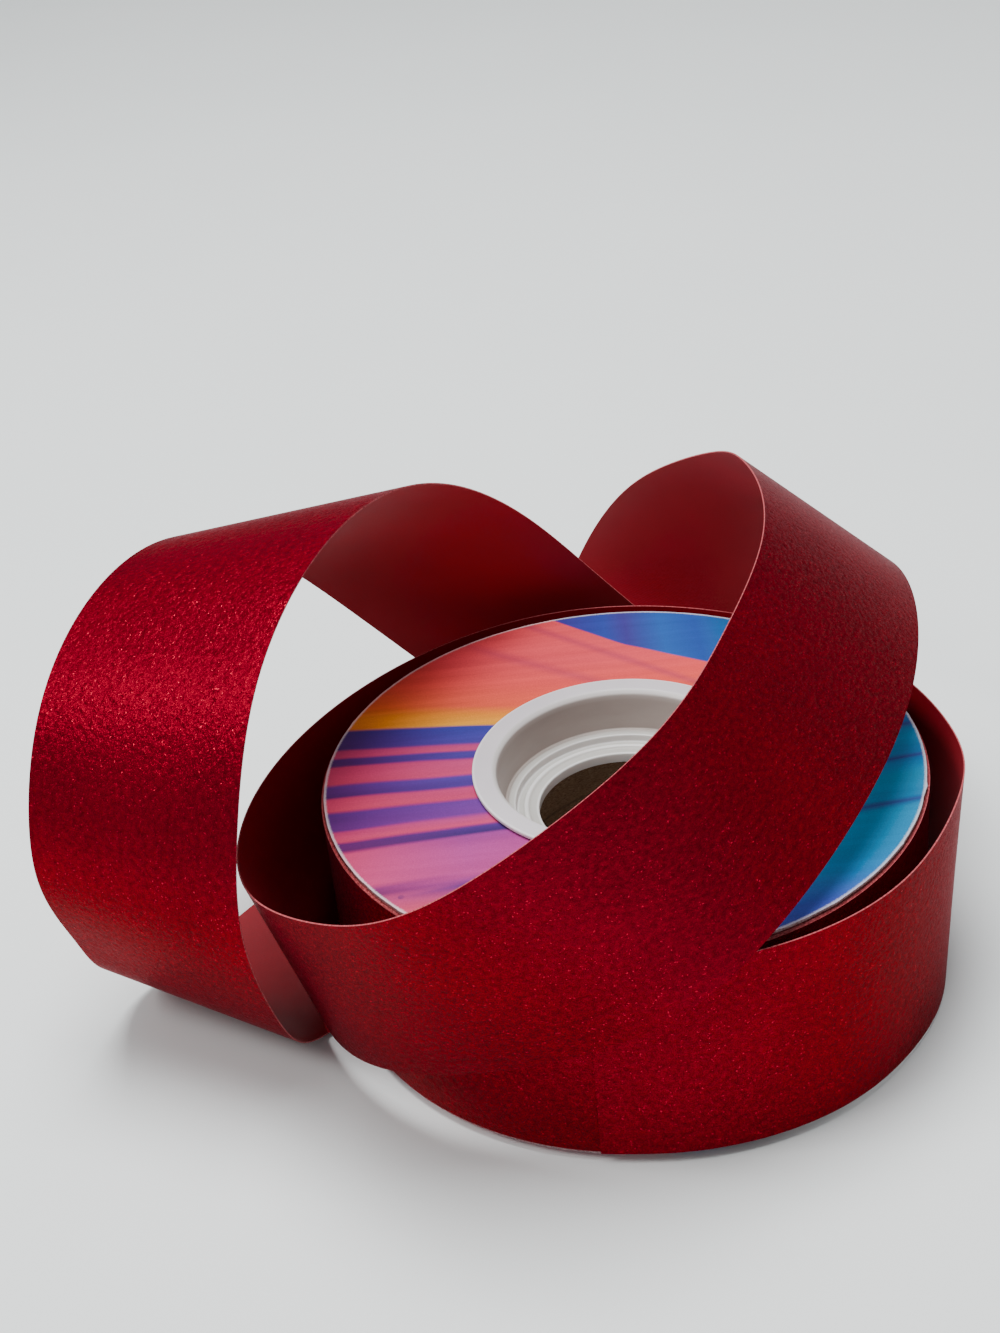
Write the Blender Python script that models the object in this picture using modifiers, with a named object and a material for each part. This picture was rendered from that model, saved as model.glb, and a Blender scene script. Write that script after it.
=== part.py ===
"""Ribbon spool: a card-flanged cardboard core with two press-in plugs, the wound ribbon and its loose tail.

Metres, +Z up. The origin is on the spool's axis, at the underside that it rests on.
"""
import math

import bmesh
import bpy
import numpy as np

MM = 0.001
GAP = 0.3 * MM                # between pieces that touch

RIBBON_WIDTH = 48.0 * MM
RIBBON_THICKNESS = 0.3 * MM

CORE_BORE_R = 28.0 * MM       # cardboard tube, inside
CORE_WALL = 2.6 * MM
CORE_EXTRA = 0.2 * MM         # longer than the ribbon is wide
WINDING_DEPTH = 33.1 * MM     # radial depth of the wound ribbon

DISC_INSET = 0.6 * MM         # card side discs, back from the outermost turn
DISC_THICKNESS = 0.6 * MM

PLUG_FLANGE_WIDTH = 4.0 * MM  # beyond the barrel
PLUG_FLANGE_THICKNESS = 1.0 * MM
PLUG_WALL = 1.1 * MM
PLUG_TAPER = 1.2 * MM         # the barrel's mouth is this much wider than its foot
PLUG_LIP_R = 0.7 * MM         # rounding where the flange turns into the barrel
PLUG_DEPTH = 9.2 * MM         # outer face to the first shelf
SHELF_WIDTH = 2.3 * MM
SHELF_STEP = 1.9 * MM
PLUG_FLOOR_WIDTH = 4.9 * MM   # lower shelf, in to the hole
PLUG_SKIRT = 2.4 * MM         # short collar below the hole

TURN_STEPS = 60

# The loose tail, from where it leaves the winding to its cut end. Each pair is one straight line across the
# tail, its upper and its lower end in millimetres: once round the spool, up across the front, over the arch
# on the right, down behind, flat along the floor, and round the large loop on the left.
TAIL_LINES = (
    ((-13.4, -63.2, 50.6), (-13.4, -63.2, 2.6)),
    ((3, -65, 50.6), (3, -65, 2.6)),
    ((36, -56.5, 50), (37, -56, 2)),
    ((54, -41, 49), (54, -41, 1.2)),
    ((67, -20, 49), (65, -22, 1)),
    ((72, 2, 48), (69, 6, 1)),
    ((66, 27, 48.5), (65, 30, 1)),
    ((29, 64, 48.5), (30, 63, 1)),
    ((-18, 68, 49), (-18, 68, 1.5)),
    ((-44, 55, 49), (-41, 58, 1.5)),
    ((-81, -10, 50), (-71, -7, 2.5)),
    ((-77, -35, 54), (-65, -28, 6)),
    ((-63, -55, 61), (-50, -47, 14)),
    ((-31, -68, 78), (-2, -68, 38)),
    ((-8, -61.5, 90), (17, -65.5, 51)),
    ((19, -32, 102), (53, -22, 65)),
    ((29, -10, 106), (63, 2, 69)),
    ((33, 40, 100), (69, 51, 64)),
    ((30, 65, 90), (67, 75, 55)),
    ((21, 92, 74), (63, 90, 49)),
    ((10, 111, 56), (54, 102, 32)),
    ((-1, 120, 33), (44, 106, 15)),
    ((-10, 116, 13), (33, 94, 4)),
    ((-20, 100, 1.5), (15, 67, 0.8)),
    ((-37, 81, 0.6), (-3, 48, 0.6)),
    ((-63, 55, 0.6), (-29, 21, 0.6)),
    ((-88, 29, 1), (-51, -2, 0.6)),
    ((-108, 7, 2.5), (-63, -13, 0.8)),
    ((-114, 0, 9), (-71, -22, 3)),
    ((-117, -7, 17), (-74.5, -29, 10)),
    ((-119, -12, 28), (-76.5, -35, 22)),
    ((-122, -18, 52), (-79, -40, 52)),
    ((-121, -14, 66), (-77, -35, 69)),
    ((-116, -2, 84), (-71, -20, 91)),
    ((-94, 37, 96), (-42, 36, 103)),
    ((-71, 63, 73), (-13, 68, 76)),
    ((-56, 69, 54), (1, 73, 58)),
    ((-38, 76, 30), (19, 80, 34)),
)
LINES_R = 64.0 * MM           # the lines are drawn round a spool of this wound radius and height,
LINES_HEIGHT = 52.6 * MM      # for a ribbon of this width
LINES_WIDTH = 48.0 * MM
TAIL_STEPS = 300

# Radii, worked out from the tube's bore
PLUG_BARREL_R = CORE_BORE_R - GAP
PLUG_FLANGE_R = PLUG_BARREL_R + PLUG_FLANGE_WIDTH
PLUG_MOUTH_R = PLUG_BARREL_R - PLUG_WALL
PLUG_FOOT_R = PLUG_MOUTH_R - PLUG_TAPER
PLUG_SHELF_R = PLUG_FOOT_R - SHELF_WIDTH
PLUG_HOLE_R = PLUG_SHELF_R - PLUG_FLOOR_WIDTH
CORE_OUTER_R = CORE_BORE_R + CORE_WALL
WINDING_INNER_R = CORE_OUTER_R + GAP
WINDING_R = WINDING_INNER_R + WINDING_DEPTH
DISC_R = WINDING_R - DISC_INSET
DISC_BORE_R = PLUG_BARREL_R + GAP

# Levels, worked out from the ribbon's width
DISC_Z = PLUG_FLANGE_THICKNESS + GAP
CORE_Z = DISC_Z + DISC_THICKNESS + GAP
CORE_LENGTH = RIBBON_WIDTH + CORE_EXTRA
SPOOL_HEIGHT = 2 * CORE_Z + CORE_LENGTH

COLOURS = {                   # base colour, roughness
    "core_tube": ((0.23, 0.14, 0.08), 0.9),
    "bottom_plug": ((0.80, 0.79, 0.76), 0.4),
    "top_plug": ((0.80, 0.79, 0.76), 0.4),
    "bottom_disc": ((0.25, 0.12, 0.45), 0.5),
    "top_disc": ((0.75, 0.18, 0.25), 0.5),
    "ribbon_winding": ((0.35, 0.005, 0.015), 0.5),
    "ribbon_tail": ((0.55, 0.005, 0.02), 0.45),
}


def clear_scene():
    for obj in list(bpy.data.objects):
        bpy.data.objects.remove(obj, do_unlink=True)


def add_object(name, mesh, collection):
    """Put the mesh in the scene as one named sub-part with its own material."""
    obj = bpy.data.objects.new(name, mesh)
    collection.objects.link(obj)
    colour, roughness = COLOURS[name]
    material = bpy.data.materials.new(name)
    material.use_nodes = True
    shader = material.node_tree.nodes["Principled BSDF"]
    shader.inputs["Base Color"].default_value = (*colour, 1.0)
    shader.inputs["Roughness"].default_value = roughness
    shader.inputs["Metallic"].default_value = 0.0
    mesh.materials.append(material)
    return obj


def turned(name, profile, collection):
    """Turn a closed profile of (radius, z) points about the Z axis. The points run down the outer side."""
    mesh = bpy.data.meshes.new(name)
    edges = [(i, (i + 1) % len(profile)) for i in range(len(profile))]
    mesh.from_pydata([(r, 0.0, z) for r, z in profile], edges, [])
    obj = add_object(name, mesh, collection)
    screw = obj.modifiers.new("turn", 'SCREW')
    screw.angle = math.tau
    screw.steps = TURN_STEPS
    screw.render_steps = TURN_STEPS
    screw.use_merge_vertices = True
    screw.merge_threshold = 0.00001
    return obj


def ring_profile(inner_r, outer_r, low_z, high_z):
    return [(outer_r, high_z), (outer_r, low_z), (inner_r, low_z), (inner_r, high_z)]


def plug_profile():
    """Half-section of a plug, outer face at z = 0 and the barrel going down, from the flange's rim round."""
    t = PLUG_WALL
    lip = [
        (PLUG_MOUTH_R + PLUG_LIP_R * (1 - math.sin(a)), -PLUG_LIP_R * (1 - math.cos(a)))
        for a in (math.radians(90), math.radians(60), math.radians(30), 0.0)
    ]
    shelf_z = -PLUG_DEPTH
    floor_z = shelf_z - SHELF_STEP
    skirt_z = floor_z - PLUG_SKIRT
    outer = [
        (PLUG_FLANGE_R, 0.0),
        (PLUG_FLANGE_R, -PLUG_FLANGE_THICKNESS),
        (PLUG_BARREL_R, -PLUG_FLANGE_THICKNESS),
        (PLUG_BARREL_R, shelf_z - t),
        (PLUG_SHELF_R + t, shelf_z - t),
        (PLUG_SHELF_R + t, floor_z - t),
        (PLUG_HOLE_R + t, floor_z - t),
        (PLUG_HOLE_R + t, skirt_z),
        (PLUG_HOLE_R, skirt_z),
    ]
    inner = [
        (PLUG_HOLE_R, floor_z),
        (PLUG_SHELF_R, floor_z),
        (PLUG_SHELF_R, shelf_z),
        (PLUG_FOOT_R, shelf_z),
    ]
    return outer + inner + lip


def add_plugs(collection):
    section = plug_profile()
    turned("top_plug", [(r, SPOOL_HEIGHT + z) for r, z in section], collection)
    turned("bottom_plug", [(r, -z) for r, z in reversed(section)], collection)


def add_discs(collection):
    low = (DISC_Z, DISC_Z + DISC_THICKNESS)
    high = (SPOOL_HEIGHT - low[1], SPOOL_HEIGHT - low[0])
    turned("bottom_disc", ring_profile(DISC_BORE_R, DISC_R, *low), collection)
    turned("top_disc", ring_profile(DISC_BORE_R, DISC_R, *high), collection)


def add_core(collection):
    turned("core_tube", ring_profile(CORE_BORE_R, CORE_OUTER_R, CORE_Z, CORE_Z + CORE_LENGTH), collection)


def add_winding(collection):
    middle = SPOOL_HEIGHT / 2
    low, high = middle - RIBBON_WIDTH / 2, middle + RIBBON_WIDTH / 2
    turned("ribbon_winding", ring_profile(WINDING_INNER_R, WINDING_R, low, high), collection)


def smooth_through(values, at, where):
    """The natural cubic spline through the values, one at each place in at, read off at the places in where."""
    gap = np.diff(at)[:, None]
    slope = np.diff(values, axis=0) / gap
    inner = np.arange(1, len(at) - 1)
    system = np.eye(len(at))
    system[inner, inner - 1] = gap[:-1, 0]
    system[inner, inner] = 2 * (gap[:-1, 0] + gap[1:, 0])
    system[inner, inner + 1] = gap[1:, 0]
    right = np.zeros_like(values)
    right[1:-1] = 6 * np.diff(slope, axis=0)
    bend = np.linalg.solve(system, right)
    span = np.clip(np.searchsorted(at, where) - 1, 0, len(at) - 2)
    width = gap[span]
    far = (where - at[span])[:, None] / width
    near = 1 - far
    straight = near * values[span] + far * values[span + 1]
    return straight + ((near ** 3 - near) * bend[span] + (far ** 3 - far) * bend[span + 1]) * width ** 2 / 6


def tail_edges(steps):
    """Upper edge, lower edge and surface normal of the tail, evenly spaced along it."""
    stretch = (WINDING_R / LINES_R, WINDING_R / LINES_R, SPOOL_HEIGHT / LINES_HEIGHT)
    lines = np.array(TAIL_LINES) * MM
    low_ends = lines[:, 1] * stretch
    high_ends = low_ends + (lines[:, 0] - lines[:, 1]) * RIBBON_WIDTH / LINES_WIDTH
    middles = (low_ends + high_ends) / 2
    at = np.concatenate([[0.0], np.cumsum(np.linalg.norm(np.diff(middles, axis=0), axis=1))])
    where = np.linspace(0.0, at[-1], steps + 1)
    upper = smooth_through(high_ends, at, where)
    lower = smooth_through(low_ends, at, where)
    along = np.gradient((upper + lower) / 2, axis=0)
    normal = np.cross(upper - lower, along)
    return upper, lower, normal / np.linalg.norm(normal, axis=1, keepdims=True)


def add_tail(collection):
    """The tail as a thin closed strip, lofted between its two edges. Both faces are split the same way."""
    upper, lower, normal = tail_edges(TAIL_STEPS)
    half = normal * RIBBON_THICKNESS / 2
    corners = np.stack([upper + half, lower + half, lower - half, upper - half], axis=1)
    mesh = bpy.data.meshes.new("ribbon_tail")
    strip = bmesh.new()
    rows = [[strip.verts.new(corner) for corner in row] for row in corners]
    for row, following in zip(rows, rows[1:]):
        for i, j in ((0, 1), (1, 2)):
            strip.faces.new((row[i], row[j], following[j]))
            strip.faces.new((row[i], following[j], following[i]))
        for i, j in ((2, 3), (3, 0)):
            strip.faces.new((row[i], row[j], following[i]))
            strip.faces.new((row[j], following[j], following[i]))
    strip.faces.new(rows[0][::-1])
    strip.faces.new(rows[-1])
    bmesh.ops.recalc_face_normals(strip, faces=strip.faces)
    strip.to_mesh(mesh)
    strip.free()
    add_object("ribbon_tail", mesh, collection)


def main():
    clear_scene()
    collection = bpy.data.collections.new("ribbon_spool")
    bpy.context.scene.collection.children.link(collection)
    add_core(collection)
    add_plugs(collection)
    add_discs(collection)
    add_winding(collection)
    add_tail(collection)


main()
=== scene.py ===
"""Finished look of the ribbon spool: its fine pieces, materials, floor, lights and camera."""
import math

import bpy
import numpy as np
from mathutils import Matrix, Vector


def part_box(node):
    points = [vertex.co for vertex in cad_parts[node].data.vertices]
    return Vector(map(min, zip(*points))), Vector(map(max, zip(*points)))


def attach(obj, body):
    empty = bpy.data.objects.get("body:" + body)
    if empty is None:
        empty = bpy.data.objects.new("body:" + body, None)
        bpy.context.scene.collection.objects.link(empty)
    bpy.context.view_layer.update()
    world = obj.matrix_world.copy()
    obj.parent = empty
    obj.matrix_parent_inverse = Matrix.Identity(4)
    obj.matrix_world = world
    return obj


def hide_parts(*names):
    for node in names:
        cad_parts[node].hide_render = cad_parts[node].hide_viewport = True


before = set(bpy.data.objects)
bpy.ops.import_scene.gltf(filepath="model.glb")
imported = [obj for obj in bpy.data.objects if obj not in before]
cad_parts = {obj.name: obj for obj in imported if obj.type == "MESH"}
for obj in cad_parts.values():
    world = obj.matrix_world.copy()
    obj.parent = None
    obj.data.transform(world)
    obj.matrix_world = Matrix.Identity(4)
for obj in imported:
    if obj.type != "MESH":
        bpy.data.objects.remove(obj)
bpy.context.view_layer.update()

MM = 0.001
SPOOL_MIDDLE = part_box("top_plug")[1][2] / 2

# The loose tail's route, the same lines across it that the solid part has: upper end, lower end, millimetres
TAIL_LINES = (
    ((-13.4, -63.2, 50.6), (-13.4, -63.2, 2.6)),
    ((3, -65, 50.6), (3, -65, 2.6)),
    ((36, -56.5, 50), (37, -56, 2)),
    ((54, -41, 49), (54, -41, 1.2)),
    ((67, -20, 49), (65, -22, 1)),
    ((72, 2, 48), (69, 6, 1)),
    ((66, 27, 48.5), (65, 30, 1)),
    ((29, 64, 48.5), (30, 63, 1)),
    ((-18, 68, 49), (-18, 68, 1.5)),
    ((-44, 55, 49), (-41, 58, 1.5)),
    ((-81, -10, 50), (-71, -7, 2.5)),
    ((-77, -35, 54), (-65, -28, 6)),
    ((-63, -55, 61), (-50, -47, 14)),
    ((-31, -68, 78), (-2, -68, 38)),
    ((-8, -61.5, 90), (17, -65.5, 51)),
    ((19, -32, 102), (53, -22, 65)),
    ((29, -10, 106), (63, 2, 69)),
    ((33, 40, 100), (69, 51, 64)),
    ((30, 65, 90), (67, 75, 55)),
    ((21, 92, 74), (63, 90, 49)),
    ((10, 111, 56), (54, 102, 32)),
    ((-1, 120, 33), (44, 106, 15)),
    ((-10, 116, 13), (33, 94, 4)),
    ((-20, 100, 1.5), (15, 67, 0.8)),
    ((-37, 81, 0.6), (-3, 48, 0.6)),
    ((-63, 55, 0.6), (-29, 21, 0.6)),
    ((-88, 29, 1), (-51, -2, 0.6)),
    ((-108, 7, 2.5), (-63, -13, 0.8)),
    ((-114, 0, 9), (-71, -22, 3)),
    ((-117, -7, 17), (-74.5, -29, 10)),
    ((-119, -12, 28), (-76.5, -35, 22)),
    ((-122, -18, 52), (-79, -40, 52)),
    ((-121, -14, 66), (-77, -35, 69)),
    ((-116, -2, 84), (-71, -20, 91)),
    ((-94, 37, 96), (-42, 36, 103)),
    ((-71, 63, 73), (-13, 68, 76)),
    ((-56, 69, 54), (1, 73, 58)),
    ((-38, 76, 30), (19, 80, 34)),
)
TAIL_WIDTH = 0.048
TAIL_THICKNESS = 0.3 * MM
TAIL_STEPS = 620
TAIL_CELLS = 14               # across one face

# Winding and card discs
SPOOL_STEPS = 360
CARD_STEPS = 720
MATING_GAP = 0.3 * MM
TURNS_SHOWN = 12
FIRST_TURN_IN = 0.05 * MM     # the last turn's edge, in from its outer wall
TURN_PITCH = 0.30 * MM        # one turn of ribbon to the next
TURN_DIP = 0.22 * MM
TURN_RISE = 0.10 * MM         # how far a turn stands high or low as it goes round
WALL_ROUND = 0.06 * MM        # the last turn's edges, cut back
CARD_BORE_R = 28.0 * MM
CARD_EDGE_ROUND = 0.12 * MM
# Torn tufts on a card's rim: angle in radians, how far it stands out or in (mm), and half its width (radians)
CARD_TUFTS = (
    (-0.30, 0.22, 0.014), (-0.36, -0.15, 0.02), (-0.62, 0.16, 0.01), (-0.98, 0.14, 0.02),
    (-2.42, 0.15, 0.012), (-2.60, -0.12, 0.02), (2.7, 0.10, 0.015), (0.12, 0.12, 0.01),
)

# Tube
TUBE_EDGE_ROUND = 0.2 * MM
BORE_WAVE = 0.04 * MM         # how far the bore is out of round

# Press-in plugs
HUB_STEPS = 240
PLUG_BARREL_R = 27.7 * MM
PLUG_WALL = 1.1 * MM
PLUG_TAPER = 1.2 * MM
PLUG_FLANGE_THICKNESS = 1.0 * MM
PLUG_LIP_R = 0.9 * MM
PLUG_DEPTH = 9.2 * MM
SHELF_WIDTH = 2.3 * MM
SHELF_STEP = 1.9 * MM
LEDGE_WIDTH = 0.5 * MM        # narrow ledge at the wall's foot, above the shelf
LEDGE_SLOPE = 0.2 * MM
LEDGE_DROP = 0.25 * MM
FLOOR_RING_R = 21.0 * MM
FLOOR_RING = ((0.6, 0.0), (0.3, 0.5), (-0.4, 0.5), (-0.8, 0.0))   # low ring's section: out and up, mm
PLUG_HOLE_R = 18.2 * MM
PLUG_SKIRT = 2.4 * MM
PLUG_EDGE_ROUND = 0.35 * MM

# Places of a piece's materials: the ribbon's, and a card disc's
GLITTER, SATIN, EDGE = 0, 1, 2
PRINTED, BOARD = 0, 1

# Finishes, in millimetres
RIB_PITCH = 0.45              # one rib of the satin back to the next
WRAP_PITCH = 34.0             # the tube's seam climbs this far in a turn
PRINT_REACH = 64.0            # the printed folds run this far in front of the axis and behind it
WORN_RIM_R = 62.9             # outside this radius the print is worn


# Surfaces ---------------------------------------------------------------------------------------------------

def grid_faces(rows, columns, wrap_rows=False, wrap_columns=False):
    """Corner numbers of the quads of a grid, going round each way that wraps."""
    row = np.arange(rows if wrap_rows else rows - 1)[:, None]
    column = np.arange(columns if wrap_columns else columns - 1)[None, :]
    next_row, next_column = (row + 1) % rows, (column + 1) % columns
    corners = [row * columns + column, next_row * columns + column,
               next_row * columns + next_column, row * columns + next_column]
    return np.stack(np.broadcast_arrays(*corners), axis=-1).reshape(-1, 4)


def quad_places(along, across, quads, columns):
    """Places on the piece's own map of the corners that grid_faces gives, and each quad's column."""
    i, j = np.arange(quads) // columns, np.arange(quads) % columns
    corners = [(i, j), (i + 1, j), (i + 1, j + 1), (i, j + 1)]
    return np.stack([np.stack([along[row], across[column]], -1) for row, column in corners], 1), j


def finished_piece(name, points, faces, slots, materials, strip_uv, sharp=32.0):
    """A smooth piece from its points and quads.

    slots gives each quad's material, and strip_uv the place of each quad's corners on the piece's own map.
    """
    mesh = bpy.data.meshes.new(name)
    mesh.vertices.add(len(points))
    mesh.vertices.foreach_set("co", points.astype(np.float32).ravel())
    mesh.loops.add(faces.size)
    mesh.loops.foreach_set("vertex_index", faces.astype(np.int32).ravel())
    mesh.polygons.add(len(faces))
    mesh.polygons.foreach_set("loop_start", np.arange(0, faces.size, 4, dtype=np.int32))
    for material in materials:
        mesh.materials.append(material)
    mesh.polygons.foreach_set("material_index", slots.astype(np.int32))
    mesh.polygons.foreach_set("use_smooth", np.ones(len(faces), dtype=bool))
    layer = mesh.uv_layers.new(name="strip")
    layer.data.foreach_set("uv", strip_uv.astype(np.float32).ravel())
    mesh.update(calc_edges=True)
    mesh.validate()
    mesh.set_sharp_from_angle(angle=math.radians(sharp))
    piece = bpy.data.objects.new(name, mesh)
    bpy.context.scene.collection.objects.link(piece)
    return piece


def turned_piece(name, profile, slots, materials, steps=SPOOL_STEPS, wobble=None):
    """A closed profile of (radius, height) carried round the axis.

    Point = (r cos a, r sin a, z), with the profile running up its outer side. wobble(angle, profile) gives
    the shifts of r and z. The strip place is the length round the outer wall and the length along the profile.
    """
    profile = np.asarray(profile, dtype=float)
    angle = np.arange(steps) / steps * math.tau
    r = np.broadcast_to(profile[:, 0], (steps, len(profile))).copy()
    z = np.broadcast_to(profile[:, 1], (steps, len(profile))).copy()
    if wobble is not None:
        dr, dz = wobble(angle[:, None], profile)
        r, z = r + dr, z + dz
    points = np.stack([r * np.cos(angle)[:, None], r * np.sin(angle)[:, None], z], axis=-1)
    faces = grid_faces(steps, len(profile), True, True)
    run = np.linalg.norm(np.roll(profile, -1, axis=0) - profile, axis=1)
    across = np.concatenate([[0.0], np.cumsum(run)])
    around = np.arange(steps + 1) / steps * math.tau * profile[:, 0].max()
    strip_uv, column = quad_places(around, across, len(faces), len(profile))
    return finished_piece(name, points.reshape(-1, 3), faces, np.asarray(slots)[column], materials, strip_uv)


def smooth_through(values, at, where):
    """The natural cubic spline through the values, which stand at the places in at, read off at where."""
    gap = np.diff(at)[:, None]
    slope = np.diff(values, axis=0) / gap
    inner = np.arange(1, len(at) - 1)
    system = np.eye(len(at))
    system[inner, inner - 1] = gap[:-1, 0]
    system[inner, inner] = 2 * (gap[:-1, 0] + gap[1:, 0])
    system[inner, inner + 1] = gap[1:, 0]
    right = np.zeros_like(values)
    right[1:-1] = 6 * np.diff(slope, axis=0)
    bend = np.linalg.solve(system, right)
    span = np.clip(np.searchsorted(at, where) - 1, 0, len(at) - 2)
    width = gap[span]
    far = (where - at[span])[:, None] / width
    near = 1 - far
    straight = near * values[span] + far * values[span + 1]
    return straight + ((near ** 3 - near) * bend[span] + (far ** 3 - far) * bend[span + 1]) * width ** 2 / 6


def tail_edges(steps):
    """Upper edge, lower edge, surface normal and length so far of the tail, evenly spaced along it."""
    lines = np.array(TAIL_LINES) * MM
    middles = lines.mean(axis=1)
    at = np.concatenate([[0.0], np.cumsum(np.linalg.norm(np.diff(middles, axis=0), axis=1))])
    edges = smooth_through(lines.reshape(len(lines), 6), at, np.linspace(0.0, at[-1], steps + 1))
    upper, lower = edges[:, :3], edges[:, 3:]
    middle = (upper + lower) / 2
    normal = np.cross(upper - lower, np.gradient(middle, axis=0))
    normal /= np.linalg.norm(normal, axis=1, keepdims=True)
    length = np.concatenate([[0.0], np.cumsum(np.linalg.norm(np.diff(middle, axis=0), axis=1))])
    return upper, lower, normal, length


# Materials --------------------------------------------------------------------------------------------------

class Wire:
    """A socket in a material. Plain arithmetic on it adds the Math nodes that work it out."""

    def __init__(self, finish, socket):
        self.finish = finish
        self.socket = socket

    def math(self, operation, *others):
        return self.finish.node("ShaderNodeMath", {"operation": operation}, [self, *others])

    def __add__(self, other):
        return self.math('ADD', other)

    def __sub__(self, other):
        return self.math('SUBTRACT', other)

    def __mul__(self, other):
        return self.math('MULTIPLY', other)

    def __truediv__(self, other):
        return self.math('DIVIDE', other)

    def __rsub__(self, other):
        return self.finish.node("ShaderNodeMath", {"operation": 'SUBTRACT'}, [other, self])

    __radd__ = __add__
    __rmul__ = __mul__

    def above(self, limit, soft):
        """0 below the limit and 1 above it, over a soft step."""
        return ((self - limit) / soft + 0.5).math('MAXIMUM', 0.0).math('MINIMUM', 1.0)

    def within(self, low, high, soft):
        return self.above(low, soft) * (1 - self.above(high, soft))


class Finish:
    """A material under construction."""

    def __init__(self, name, base, roughness, metallic=0.0, **constants):
        self.material = bpy.data.materials.new(name)
        self.material.use_nodes = True
        self.tree = self.material.node_tree
        self.shader = self.tree.nodes["Principled BSDF"]
        self.shader.inputs["Base Color"].default_value = (*base, 1.0)
        self.shader.inputs["Roughness"].default_value = roughness
        self.shader.inputs["Metallic"].default_value = metallic
        for socket, value in constants.items():
            self.shader.inputs[socket.replace("_", " ")].default_value = value
        self.material.diffuse_color = (*base, 1.0)

    def node(self, kind, settings=None, inputs=None, out=0):
        made = self.tree.nodes.new(kind)
        for key, value in (settings or {}).items():
            if key == "stops":
                set_stops(made.color_ramp, value)
            else:
                setattr(made, key, value)
        pairs = inputs.items() if isinstance(inputs, dict) else enumerate(inputs or [])
        for key, value in pairs:
            if isinstance(value, Wire):
                self.tree.links.new(value.socket, made.inputs[key])
            else:
                made.inputs[key].default_value = value
        return Wire(self, made.outputs[out])

    def drive(self, socket, wire):
        self.tree.links.new(wire.socket, self.shader.inputs[socket])

    def place(self):
        """Object coordinates in millimetres."""
        raw = self.node("ShaderNodeTexCoord", out="Object")
        return self.scaled(raw, 1 / MM)

    def strip_place(self):
        """Millimetres along and across the ribbon, from its own map."""
        raw = self.node("ShaderNodeUVMap", {"uv_map": "strip"})
        return self.scaled(raw, 1 / MM)

    def part_of(self, vector, axis):
        return self.node("ShaderNodeSeparateXYZ", None, [vector], out=axis)

    def vector(self, operation, *inputs):
        return self.node("ShaderNodeVectorMath", {"operation": operation}, list(inputs))

    def scaled(self, vector, amount):
        return self.node("ShaderNodeVectorMath", {"operation": 'SCALE'}, {0: vector, "Scale": amount})

    def grown(self, vector, factors):
        return self.vector('MULTIPLY', vector, factors)

    def cells(self, vector, scale, out=0):
        inputs = {"Vector": vector, "Scale": scale}
        return self.node("ShaderNodeTexVoronoi", {"feature": 'F1'}, inputs, out=out)

    def noise(self, vector, scale, detail=2.0, roughness=0.5):
        inputs = {"Vector": vector, "Scale": scale, "Detail": detail, "Roughness": roughness}
        return self.node("ShaderNodeTexNoise", None, inputs)

    def ramp(self, wire, stops, interpolation='LINEAR'):
        return self.node("ShaderNodeValToRGB", {"stops": (stops, interpolation)}, [wire])

    def mixed(self, factor, first, second, blend='MIX'):
        settings = {"data_type": 'RGBA', "blend_type": blend}
        first, second = [(*c, 1.0) if isinstance(c, tuple) and len(c) == 3 else c for c in (first, second)]
        return self.node("ShaderNodeMix", settings, {0: factor, 6: first, 7: second}, out=2)

    def bump(self, height, distance, strength=1.0, normal=None):
        inputs = {"Height": height, "Distance": distance, "Strength": strength}
        if normal is not None:
            inputs["Normal"] = normal
        return self.node("ShaderNodeBump", None, inputs)


def set_stops(ramp, value):
    stops, interpolation = value
    ramp.interpolation = interpolation
    while len(ramp.elements) > 1:
        ramp.elements.remove(ramp.elements[-1])
    for number, (position, colour) in enumerate(stops):
        stop = ramp.elements[0] if number == 0 else ramp.elements.new(position)
        stop.position = position
        stop.color = (*colour, 1.0)


def glitter_ribbon():
    """Face side: deep crimson metallic cloth under a coat of very fine flakes, each tilted its own way."""
    finish = Finish("ribbon_glitter_side", (0.21, 0.0, 0.016), roughness=0.42, metallic=0.62,
                    Sheen_Weight=0.02, Sheen_Roughness=0.4, Sheen_Tint=(1.0, 0.30, 0.50, 1.0),
                    Specular_IOR_Level=0.03, Specular_Tint=(0.45, 0.0, 0.02, 1.0))
    place = finish.strip_place()
    flake = finish.cells(place, 3.4, "Color")
    grain = finish.cells(place, 6.0, "Color")
    pick = finish.part_of(flake, "X")
    tint = finish.part_of(grain, "Z")
    cloud = finish.noise(place, 0.035, 3.0)
    lumps = finish.noise(place, 0.75, 2.0, 0.5)
    depth = tint * 0.25 + cloud * 0.25 + lumps * 0.5
    cloth = finish.ramp(depth, [(0.28, (0.085, 0.0, 0.005)), (0.5, (0.165, 0.0, 0.010)),
                                (0.78, (0.31, 0.0, 0.016))])
    spark = pick.above(0.975, 0.01) * tint.above(0.35, 0.1)
    colour = finish.mixed(spark * 0.45, cloth, (0.85, 0.02, 0.06))
    finish.drive("Base Color", colour)
    finish.drive("Roughness", 0.40 - tint * 0.08 - spark * 0.08)
    tilted = finish.node("ShaderNodeNewGeometry", out="Normal")
    for cell_colour, amount in ((grain, 0.24), (flake, 0.18)):
        lean = finish.scaled(finish.vector('SUBTRACT', cell_colour, (0.5, 0.5, 0.5)), amount)
        tilted = finish.vector('ADD', tilted, lean)
    tilted = finish.vector('NORMALIZE', tilted)
    finish.drive("Normal", finish.bump(lumps, 0.0004, 0.55, tilted))
    return finish.material


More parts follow.
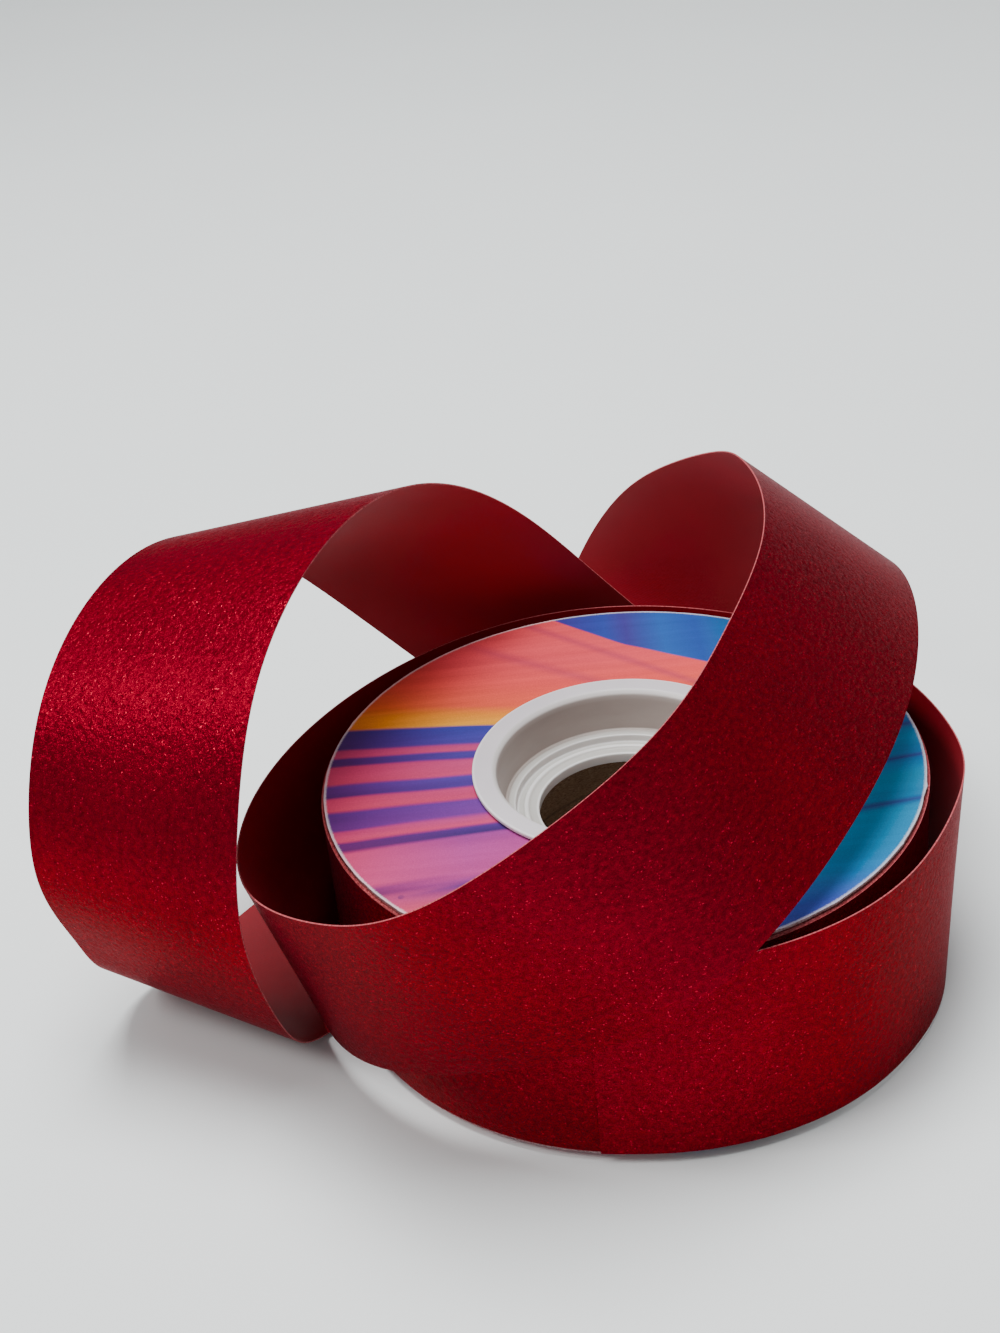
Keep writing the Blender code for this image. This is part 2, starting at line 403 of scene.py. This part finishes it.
def satin_back():
    """Back of the ribbon: smooth satin, fine ribs across it and faint clouding."""
    finish = Finish("ribbon_satin_side", (0.26, 0.004, 0.010), 0.50,
                    Sheen_Weight=0.02, Sheen_Roughness=0.45, Sheen_Tint=(1.0, 0.5, 0.55, 1.0),
                    Specular_IOR_Level=0.4)
    place = finish.strip_place()
    cloud = finish.noise(place, 0.05, 4.0)
    grain = finish.noise(place, 2.2, 2.0)
    dye = finish.ramp(cloud * 0.6 + grain * 0.4, [(0.25, (0.24, 0.0, 0.008)), (0.75, (0.35, 0.0006, 0.014))])
    finish.drive("Base Color", dye)
    finish.drive("Roughness", 0.46 + grain * 0.12)
    rib = (finish.part_of(place, "X") * (math.tau / RIB_PITCH)).math('SINE')
    finish.drive("Normal", finish.bump(rib * 0.5 + grain, 0.00003, 0.5))
    return finish.material


def cut_edge():
    """The ribbon's woven edge, paler where the coat ends."""
    finish = Finish("ribbon_edge", (0.40, 0.05, 0.06), 0.7)
    thread = finish.noise(finish.strip_place(), 1.6, 2.0)
    finish.drive("Base Color", finish.ramp(thread, [(0.3, (0.20, 0.008, 0.015)), (0.7, (0.55, 0.11, 0.12))]))
    return finish.material


def printed_card():
    """Coated card printed with soft folds of draped cloth, which draw together slightly towards the hub.

    The print is warm at the left and back, and blue and teal at the right.
    """
    finish = Finish("disc_print", (0.6, 0.2, 0.35), 0.5, Specular_IOR_Level=0.14)
    place = finish.place()
    x, y = finish.part_of(place, "X"), finish.part_of(place, "Y")
    sway = finish.noise(finish.grown(place, (0.03, 0.05, 0.0)), 1.0, 1.0) - 0.5
    inward = ((x + 58) / 24).math('MAXIMUM', 0.0).math('MINIMUM', 2.0)
    fold = ((y + inward * 0.5) / (1 - inward * 0.1) + sway * 1.6 + PRINT_REACH) / (2 * PRINT_REACH)
    outer = finish.ramp(fold, OUTER_FOLDS)
    inner = finish.ramp(fold, INNER_FOLDS)
    colour = finish.mixed(inward.math('MINIMUM', 1.0), outer, inner)
    wedge = (x + 30).above(0.0, 10.0) * (y - 22).above(0.0, 10.0)
    first_fold = (y + x * 0.89 - 47.7).within(-2.4, 0.3, 2.2)
    second_fold = (y + x * 0.73 - 33.2).within(-2.8, 0.3, 3.0)
    colour = finish.mixed((first_fold * 0.55 + second_fold * 0.5) * wedge, colour, (0.40, 0.045, 0.10))
    across = (x + 11) / 17
    corner = y - 63 + across * 15 - across.math('MAXIMUM', 1.0) * 4 + 4 + sway * 3
    back_blue = finish.ramp((x + 10) / 60, BACK_FOLDS)
    colour = finish.mixed(corner.above(0.0, 0.7) * (x + 13).above(0.0, 1.0), colour, back_blue)
    right_fold = (y - (x - 58) * 0.12 + sway * 2 + PRINT_REACH) / (2 * PRINT_REACH)
    right = finish.ramp(right_fold, RIGHT_FOLDS)
    colour = finish.mixed((x - y * 0.25 - 18 + sway * 6).above(0.0, 1.2), colour, right)
    grain = finish.noise(place, 3.2, 3.0, 0.7)
    dots = finish.cells(place, 3.6)
    streaks = finish.noise(finish.grown(place, (0.02, 0.42, 0.0)), 1.0, 3.0, 0.6)
    tone = grain * 0.4 + dots * 0.2 + streaks * 0.4
    ink = finish.ramp(tone, [(0.3, (0.62, 0.60, 0.62)), (0.68, (0.96, 0.94, 0.95))])
    colour = finish.mixed(1.0, colour, ink, 'MULTIPLY')
    # Dark blotches near the rim at the front left.
    blot = finish.noise(place, 0.16, 2.0)
    radius = (x * x + y * y).math('SQRT')
    front_left = (1 - x.above(-30.0, 10.0)) * (1 - y.above(-20, 8.0))
    front_left_dark_patches = blot.above(0.66, 0.03) * radius.above(60.0, 3.0) * front_left
    colour = finish.mixed(front_left_dark_patches * 0.7, colour, (0.06, 0.02, 0.10))
    worn = (radius - WORN_RIM_R + (grain - 0.5) * 0.9).above(0.0, 0.4)
    colour = finish.mixed(worn * 0.6, colour, (0.74, 0.68, 0.70))
    finish.drive("Base Color", colour)
    finish.drive("Roughness", 0.44 + grain * 0.12)
    finish.drive("Normal", finish.bump(grain, 0.00002, 0.5))
    return finish.material


# Printed folds from the front of the disc (0) to its back (1); BACK_FOLDS runs from left to right instead
OUTER_FOLDS = [
    (0.06, (0.62, 0.06, 0.11)), (0.14, (0.60, 0.05, 0.12)), (0.20, (0.62, 0.06, 0.15)),
    (0.212, (0.10, 0.01, 0.07)), (0.226, (0.12, 0.015, 0.10)), (0.238, (0.58, 0.05, 0.16)),
    (0.328, (0.60, 0.05, 0.16)), (0.338, (0.11, 0.012, 0.11)), (0.356, (0.13, 0.016, 0.15)),
    (0.364, (0.62, 0.05, 0.13)), (0.388, (0.52, 0.04, 0.15)), (0.394, (0.13, 0.02, 0.19)),
    (0.440, (0.10, 0.018, 0.19)), (0.448, (0.62, 0.05, 0.12)), (0.480, (0.58, 0.045, 0.13)),
    (0.488, (0.09, 0.016, 0.16)), (0.518, (0.11, 0.022, 0.21)), (0.526, (0.60, 0.05, 0.13)),
    (0.574, (0.52, 0.04, 0.13)), (0.580, (0.08, 0.015, 0.15)), (0.598, (0.09, 0.016, 0.17)),
    (0.604, (0.52, 0.045, 0.14)), (0.622, (0.46, 0.04, 0.14)), (0.628, (0.07, 0.016, 0.17)),
    (0.680, (0.055, 0.018, 0.19)), (0.688, (0.72, 0.20, 0.015)), (0.72, (0.76, 0.23, 0.015)),
    (0.75, (0.72, 0.13, 0.02)), (0.82, (0.70, 0.08, 0.04)), (0.92, (0.68, 0.06, 0.06)),
]
INNER_FOLDS = [
    (0.06, (0.64, 0.06, 0.12)), (0.16, (0.60, 0.06, 0.14)), (0.195, (0.12, 0.03, 0.20)),
    (0.22, (0.46, 0.055, 0.24)), (0.30, (0.42, 0.055, 0.26)), (0.332, (0.30, 0.045, 0.24)),
    (0.340, (0.05, 0.02, 0.14)), (0.358, (0.08, 0.025, 0.20)), (0.366, (0.60, 0.05, 0.15)),
    (0.386, (0.44, 0.05, 0.20)), (0.398, (0.16, 0.035, 0.26)), (0.438, (0.14, 0.035, 0.27)),
    (0.448, (0.58, 0.05, 0.14)), (0.478, (0.54, 0.05, 0.17)), (0.486, (0.07, 0.03, 0.23)),
    (0.518, (0.08, 0.04, 0.29)), (0.526, (0.58, 0.055, 0.16)), (0.572, (0.52, 0.055, 0.18)),
    (0.580, (0.06, 0.032, 0.25)), (0.600, (0.07, 0.04, 0.28)), (0.606, (0.54, 0.055, 0.16)),
    (0.622, (0.44, 0.05, 0.18)), (0.630, (0.06, 0.04, 0.28)), (0.684, (0.04, 0.045, 0.31)),
    (0.689, (0.80, 0.36, 0.02)), (0.725, (0.82, 0.26, 0.02)), (0.755, (0.78, 0.10, 0.05)),
    (0.84, (0.80, 0.075, 0.07)), (0.93, (0.78, 0.07, 0.09)),
]
BACK_FOLDS = [
    (0.0, (0.05, 0.03, 0.24)), (0.2, (0.03, 0.055, 0.32)), (0.28, (0.05, 0.035, 0.24)),
    (0.42, (0.02, 0.10, 0.38)), (0.55, (0.02, 0.07, 0.32)), (0.85, (0.005, 0.20, 0.42)),
]
RIGHT_FOLDS = [
    (0.04, (0.07, 0.08, 0.44)), (0.12, (0.05, 0.09, 0.46)), (0.18, (0.01, 0.20, 0.48)),
    (0.22, (0.005, 0.21, 0.44)), (0.31, (0.005, 0.24, 0.46)), (0.325, (0.03, 0.06, 0.25)),
    (0.335, (0.01, 0.20, 0.42)), (0.39, (0.005, 0.25, 0.46)), (0.43, (0.01, 0.16, 0.42)),
    (0.438, (0.035, 0.05, 0.24)), (0.447, (0.01, 0.15, 0.38)), (0.50, (0.005, 0.22, 0.44)),
    (0.522, (0.01, 0.15, 0.38)), (0.530, (0.04, 0.05, 0.25)), (0.54, (0.015, 0.12, 0.38)),
    (0.62, (0.005, 0.22, 0.46)), (0.66, (0.03, 0.08, 0.34)), (0.70, (0.005, 0.22, 0.46)),
    (0.85, (0.01, 0.22, 0.48)), (0.95, (0.02, 0.16, 0.46)),
]


def shaded_card_board():
    """White board inside the card, seen on its cut edge and underside, coloured darker and reddish as painted
    shade.
    """
    finish = Finish("disc_board_painted_shade", (0.45, 0.32, 0.33), 0.75)
    fibre = finish.noise(finish.place(), 1.7, 4.0, 0.7)
    # Painted shade: the white board is coloured dark and reddish in patches, standing in for the shaded rim of
    # the lower card.
    finish.drive("Base Color", finish.ramp(fibre, [(0.35, (0.17, 0.06, 0.07)), (0.65, (0.48, 0.37, 0.38))]))
    finish.drive("Normal", finish.bump(fibre, 0.00006, 0.6))
    return finish.material


def milky_plastic():
    """Moulded plug: milky, slightly see-through plastic, browner over the tube, with painted highlights on its
    rims.
    """
    finish = Finish("plug_plastic", (0.45, 0.43, 0.44), 0.38, Subsurface_Weight=0.25, Subsurface_Scale=0.003,
                    Subsurface_Radius=(1.0, 0.9, 0.8), Specular_IOR_Level=0.4, IOR=1.49)
    place = finish.place()
    x, y, z = [finish.part_of(place, axis) for axis in "XYZ"]
    radius = (x * x + y * y).math('SQRT')
    fine = finish.noise(place, 1.1, 3.0)
    swirl = finish.noise(finish.grown(place, (0.06, 0.06, 0.25)), 1.0, 3.0)
    middle = SPOOL_MIDDLE / MM
    depth = middle - (z - middle).math('ABSOLUTE')
    flange = radius.above(27.3, 0.8)
    shelf = (1 - radius.above(24.6, 0.6)) * depth.above(8.6, 0.4)
    colour = finish.mixed(swirl, (0.35, 0.29, 0.26), (0.46, 0.40, 0.365))
    colour = finish.mixed(flange, colour, finish.mixed(swirl, (0.54, 0.49, 0.52), (0.62, 0.575, 0.60)))
    colour = finish.mixed(shelf, colour, finish.mixed(swirl, (0.42, 0.40, 0.37), (0.55, 0.53, 0.50)))
    # Painted highlights: pale rings on the lip, the flange's edge, the hole's edge, the low floor ring and the
    # shelf's step.
    lip, flange_edge = radius.within(26.6, 27.5, 0.4), radius.within(31.2, 31.8, 0.3)
    hole = radius.within(17.9, 18.7, 0.3)
    floor_ring, shelf_step = radius.within(20.4, 21.4, 0.4), radius.within(22.6, 23.4, 0.4)
    rim_highlights = lip + flange_edge + hole + floor_ring * shelf + shelf_step * shelf
    colour = finish.mixed(rim_highlights.math('MINIMUM', 1.0) * 0.6, colour, (0.80, 0.78, 0.77))
    finish.drive("Base Color", colour)
    finish.drive("Roughness", 0.32 + fine * 0.14 + flange * 0.08)
    finish.drive("Normal", finish.bump(fine * 0.4 + swirl * 0.6, 0.00008, 0.4))
    return finish.material


def brown_board():
    """Wound cardboard tube: brown fibres and the slanted seam of its wrap."""
    finish = Finish("core_board", (0.16, 0.11, 0.07), 0.9, Specular_IOR_Level=0.2)
    place = finish.place()
    x, y, z = [finish.part_of(place, axis) for axis in "XYZ"]
    fibre = finish.noise(finish.grown(place, (1.0, 1.0, 3.0)), 1.4, 4.0, 0.65)
    turn = finish.node("ShaderNodeMath", {"operation": 'ARCTAN2'}, [y, x]) / math.tau
    seam = (z / WRAP_PITCH + turn).math('FRACT').within(0.0, 0.022, 0.012)
    colour = finish.ramp(fibre, [(0.3, (0.14, 0.08, 0.042)), (0.55, (0.25, 0.155, 0.09)),
                                 (0.75, (0.38, 0.26, 0.17))])
    colour = finish.mixed(seam * 0.5, colour, (0.09, 0.06, 0.035))
    finish.drive("Base Color", colour)
    finish.drive("Normal", finish.bump(fibre - seam * 0.8, 0.00012, 0.8))
    return finish.material


def tabletop():
    """Pale smooth surface with a few fine specks."""
    finish = Finish("tabletop", (0.70, 0.71, 0.71), 0.55, Specular_IOR_Level=0.35)
    place = finish.place()
    cloud = finish.noise(place, 0.006, 3.0)
    grain = finish.noise(place, 0.9, 3.0)
    colour = finish.mixed(cloud, (0.84, 0.86, 0.86), (0.90, 0.915, 0.91))
    finish.drive("Base Color", colour)
    finish.drive("Normal", finish.bump(grain, 0.00003, 0.4))
    return finish.material


# Pieces -----------------------------------------------------------------------------------------------------

def span_of(node):
    """A node's outer radius, lowest and highest level."""
    low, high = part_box(node)
    return (high[0] - low[0]) / 2, low[2], high[2]


def rounded(points, radius, steps=3):
    """The closed profile with each corner cut back by the radius and rounded by a curve from side to side."""
    points = np.asarray(points, dtype=float)
    before = np.roll(points, 1, axis=0) - points
    after = np.roll(points, -1, axis=0) - points
    reach_before = np.linalg.norm(before, axis=1, keepdims=True)
    reach_after = np.linalg.norm(after, axis=1, keepdims=True)
    start = points + before / reach_before * np.minimum(radius, reach_before * 0.45)
    end = points + after / reach_after * np.minimum(radius, reach_after * 0.45)
    t = np.linspace(0.0, 1.0, steps + 1)[None, :, None]
    curve = (1 - t) ** 2 * start[:, None] + 2 * t * (1 - t) * points[:, None] + t ** 2 * end[:, None]
    return curve.reshape(-1, 2)


def settle(piece, body, slot, *nodes):
    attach(piece, body)
    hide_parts(*nodes)
    return piece


def loose_tail(glitter, satin, edge):
    """The tail: straight lines across, its two faces half a thickness off the surface through them.

    Its section runs over the glitter face from the upper edge to the lower one, and back over the satin face.
    """
    upper, lower, normal, length = tail_edges(TAIL_STEPS)
    share = np.linspace(0.0, 1.0, TAIL_CELLS + 1)[None, :, None]
    outward = math.copysign(1.0, float(normal[0] @ (upper[0] * (1, 1, 0))))
    half = (normal * outward * TAIL_THICKNESS / 2)[:, None]
    middle_surface = upper[:, None] * (1 - share) + lower[:, None] * share
    section = np.concatenate([middle_surface + half, middle_surface[:, ::-1] - half], axis=1)
    rows, columns = section.shape[:2]
    across = np.concatenate([share.ravel(), share.ravel()[::-1], [0.0]]) * TAIL_WIDTH
    faces = grid_faces(rows, columns, False, True)[:, ::-1]
    strip_uv, column = quad_places(length, across, len(faces), columns)
    on_back = (column > TAIL_CELLS) & (column < columns - 1)
    slots = np.where(column < TAIL_CELLS, GLITTER, np.where(on_back, SATIN, EDGE))
    step = np.arange(TAIL_CELLS)
    cap = np.stack([step, step + 1, columns - 2 - step, columns - 1 - step], axis=-1)
    caps = np.concatenate([cap, cap[:, ::-1] + (rows - 1) * columns])
    cap_slots = np.repeat([GLITTER, EDGE], TAIL_CELLS)
    piece = finished_piece("loose_tail", section.reshape(-1, 3), np.concatenate([faces, caps]),
                           np.concatenate([slots, cap_slots]), (glitter, satin, edge),
                           np.concatenate([strip_uv[:, ::-1], np.zeros((len(caps), 4, 2))]))
    settle(piece, "ribbon_tail", "ribbon", "ribbon_tail")
    middle = (upper + lower) / 2
    return piece


def wound_ribbon(glitter, satin, edge):
    """The wound ribbon: a ring whose outer wall is the last turn and whose flat sides are the turns' edges.

    Side = full height less a dip between one turn and the next, each turn standing a little high or low.
    """
    outer_r, low, high = span_of("ribbon_winding")
    inner_r = span_of("core_tube")[0] + MATING_GAP
    k = np.arange(2 * TURNS_SHOWN + 1)
    radii = outer_r - FIRST_TURN_IN - k * TURN_PITCH / 2
    dips = TURN_DIP * (k % 2)
    top = np.stack([radii, high - dips], axis=1)
    bottom = np.stack([radii, low + dips], axis=1)[::-1]
    wall = [(outer_r, low + WALL_ROUND), (outer_r, high - WALL_ROUND)]
    profile = np.concatenate([wall, top, [(inner_r, high), (inner_r, low)], bottom])
    slots = np.full(len(profile), EDGE)
    slots[0] = GLITTER
    slots[len(wall) + len(top)] = SATIN

    def wobble(angle, section):
        turn = np.round((outer_r - section[:, 0]) / TURN_PITCH)
        lift = TURN_RISE * np.sin(2 * angle + 2.4 * turn) * (section[:, 0] < outer_r - FIRST_TURN_IN / 2)
        ends = np.sign(section[:, 1] - (low + high) / 2)
        return np.zeros_like(lift), (lift - TURN_RISE) * ends * (section[:, 0] > inner_r + MM)

    piece = turned_piece("wound_ribbon", profile, slots, (glitter, satin, edge), wobble=wobble)
    return settle(piece, "spool", "ribbon", "ribbon_winding")


def ring_section(outer_r, low, high, edge_round):
    """Section of a ring that fits on the tube's bore, with rounded corners."""
    return rounded([(outer_r, low), (outer_r, high), (CARD_BORE_R, high), (CARD_BORE_R, low)], edge_round)


def card_disc(name, node, printed_up, print_card, board):
    """A die-cut card disc with softened edges. Its rim has a few torn tufts, each a bell over a short arc."""
    outer_r, low, high = span_of(node)
    section = ring_section(outer_r, low, high, CARD_EDGE_ROUND)
    middles = (section + np.roll(section, -1, axis=0)) / 2
    flat_top = middles[:, 1] > high - 0.02 * MM
    flat_bottom = middles[:, 1] < low + 0.02 * MM
    slots = np.where(flat_top if printed_up else flat_bottom, PRINTED, BOARD)

    def wobble(angle, profile):
        turned = (angle + math.pi) % math.tau - math.pi
        push = sum(size * np.exp(-((turned - at) / width) ** 2) for at, size, width in CARD_TUFTS) * MM
        ragged = 0.03 * MM * np.sin(61 * angle) * np.sin(23 * angle + 1.0)
        rim = profile[:, 0] > outer_r - 0.2 * MM
        return (push + ragged) * rim, np.zeros((len(angle), len(profile)))

    piece = turned_piece(name, section, slots, (print_card, board), steps=CARD_STEPS, wobble=wobble)
    return settle(piece, "spool", "disc_card", node)


def hub_plug(name, node, faces_up, plastic):
    """A moulded plug: flange, rolled lip, tapered wall, two stepped shelves and a collar round the hole."""
    outer_r, low, high = span_of(node)
    foot_r = PLUG_BARREL_R - PLUG_WALL - PLUG_TAPER
    shelf_r = foot_r - SHELF_WIDTH
    shelf_z = -PLUG_DEPTH
    floor_z = shelf_z - SHELF_STEP
    wall = PLUG_WALL
    section = [
        (outer_r, -PLUG_FLANGE_THICKNESS), (outer_r, 0.0), (PLUG_BARREL_R - wall + PLUG_LIP_R, 0.0),
        (PLUG_BARREL_R - wall, -PLUG_LIP_R), (foot_r, shelf_z), (foot_r - LEDGE_WIDTH, shelf_z),
        (foot_r - LEDGE_WIDTH - LEDGE_SLOPE, shelf_z - LEDGE_DROP), (shelf_r, shelf_z - LEDGE_DROP),
        (shelf_r, floor_z), *[(FLOOR_RING_R + out * MM, floor_z + up * MM) for out, up in FLOOR_RING],
        (PLUG_HOLE_R, floor_z), (PLUG_HOLE_R, floor_z - PLUG_SKIRT),
        (PLUG_HOLE_R + wall, floor_z - PLUG_SKIRT), (PLUG_HOLE_R + wall, floor_z - wall),
        (shelf_r + wall, floor_z - wall), (shelf_r + wall, shelf_z - wall),
        (PLUG_BARREL_R, shelf_z - wall), (PLUG_BARREL_R, -PLUG_FLANGE_THICKNESS),
    ]
    section = rounded(section, PLUG_EDGE_ROUND, steps=4)
    section = section * (1, 1 if faces_up else -1) + (0, high if faces_up else low)
    if not faces_up:
        section = section[::-1]
    piece = turned_piece(name, section, np.zeros(len(section), dtype=int), (plastic,), steps=HUB_STEPS)
    return settle(piece, "spool", "plug_plastic", node)


def board_tube(board):
    """The cardboard tube, its cut ends slightly rounded and its bore a touch out of round."""
    outer_r, low, high = span_of("core_tube")
    section = ring_section(outer_r, low, high, TUBE_EDGE_ROUND)

    def wobble(angle, profile):
        shift = BORE_WAVE * np.sin(5 * angle + 0.7) * (profile[:, 0] < CARD_BORE_R + MATING_GAP)
        return shift, np.zeros_like(shift)

    piece = turned_piece("board_tube", section, np.zeros(len(section), dtype=int), (board,), steps=HUB_STEPS,
                         wobble=wobble)
    return settle(piece, "spool", "core_board", "core_tube")


# Surroundings -----------------------------------------------------------------------------------------------

def sweep_floor(material):
    """Floor and backdrop in one sheet: level, then a quarter circle up, then straight up."""
    width, front, bend_at, bend_r, height = 12.0, -6.0, 1.9, 1.0, 2.2
    flat = np.stack([np.linspace(front, bend_at, 24), np.zeros(24)], axis=1)
    turn = np.linspace(0.0, math.pi / 2, 24)[1:]
    curve = np.stack([bend_at + bend_r * np.sin(turn), bend_r * (1 - np.cos(turn))], axis=1)
    rise = np.stack([np.full(8, bend_at + bend_r), np.linspace(bend_r, height, 9)[1:]], axis=1)
    line = np.concatenate([flat, curve, rise])
    across = np.linspace(-width / 2, width / 2, 16)
    points = np.stack(np.broadcast_arrays(across[:, None], line[None, :, 0], line[None, :, 1]), axis=-1)
    faces = grid_faces(len(across), len(line))
    floor = finished_piece("floor", points.reshape(-1, 3), faces, np.zeros(len(faces)), (material,),
                           np.zeros((len(faces), 4, 2)))
    return floor


def soft_light(name, place, aim, size, power, colour):
    light = bpy.data.lights.new(name, 'AREA')
    light.shape = 'RECTANGLE'
    light.size, light.size_y = size
    light.energy = power
    light.color = colour
    lamp = bpy.data.objects.new(name, light)
    lamp.location = place
    lamp.rotation_euler = (Vector(aim) - Vector(place)).to_track_quat('-Z', 'Y').to_euler()
    bpy.context.scene.collection.objects.link(lamp)


def daylight(strength, colour):
    world = bpy.data.worlds.new("daylight")
    world.use_nodes = True
    background = world.node_tree.nodes["Background"]
    background.inputs["Color"].default_value = (*colour, 1.0)
    background.inputs["Strength"].default_value = strength
    bpy.context.scene.world = world


def aim_camera():
    """Camera held a little off level, looking down at the spool from the front."""
    elevation, roll, distance = math.radians(31.75), math.radians(-5.87), 0.5111
    target = Vector((-0.02346, 0.08655, 0.025))
    back = Vector((0.0, -math.cos(elevation), math.sin(elevation)))
    right = Vector((1.0, 0.0, 0.0))
    up = back.cross(right)
    level = math.cos(roll) * right + math.sin(roll) * up
    upright = math.cos(roll) * up - math.sin(roll) * right
    lens = bpy.data.cameras.new("camera")
    lens.sensor_fit = 'HORIZONTAL'
    lens.sensor_width = 36.0
    lens.lens = 72.0
    lens.clip_start, lens.clip_end = 0.01, 20.0
    camera = bpy.data.objects.new("camera", lens)
    turn = Matrix((level, upright, back)).transposed().to_4x4()
    camera.matrix_world = Matrix.Translation(target + back * distance) @ turn
    bpy.context.scene.collection.objects.link(camera)
    bpy.context.scene.camera = camera


def main():
    aim_camera()
    ribbon = (glitter_ribbon(), satin_back(), cut_edge())
    loose_tail(*ribbon)
    wound_ribbon(*ribbon)
    print_card, board = printed_card(), shaded_card_board()
    card_disc("upper_card", "top_disc", True, print_card, board)
    card_disc("lower_card", "bottom_disc", False, print_card, board)
    plastic = milky_plastic()
    hub_plug("upper_plug", "top_plug", True, plastic)
    hub_plug("lower_plug", "bottom_plug", False, plastic)
    board_tube(brown_board())
    sweep_floor(tabletop())
    soft_light("window", place=(-1.0, -0.25, 1.15), aim=(0.0, 0.0, 0.05), size=(0.45, 0.45), power=8.0,
               colour=(1.0, 0.99, 0.97))
    soft_light("ceiling", place=(-0.1, 0.15, 1.25), aim=(0.0, 0.15, 0.0), size=(0.75, 0.6), power=25.0,
               colour=(0.97, 0.995, 1.0))
    daylight(strength=0.36, colour=(0.93, 0.98, 1.0))


main()
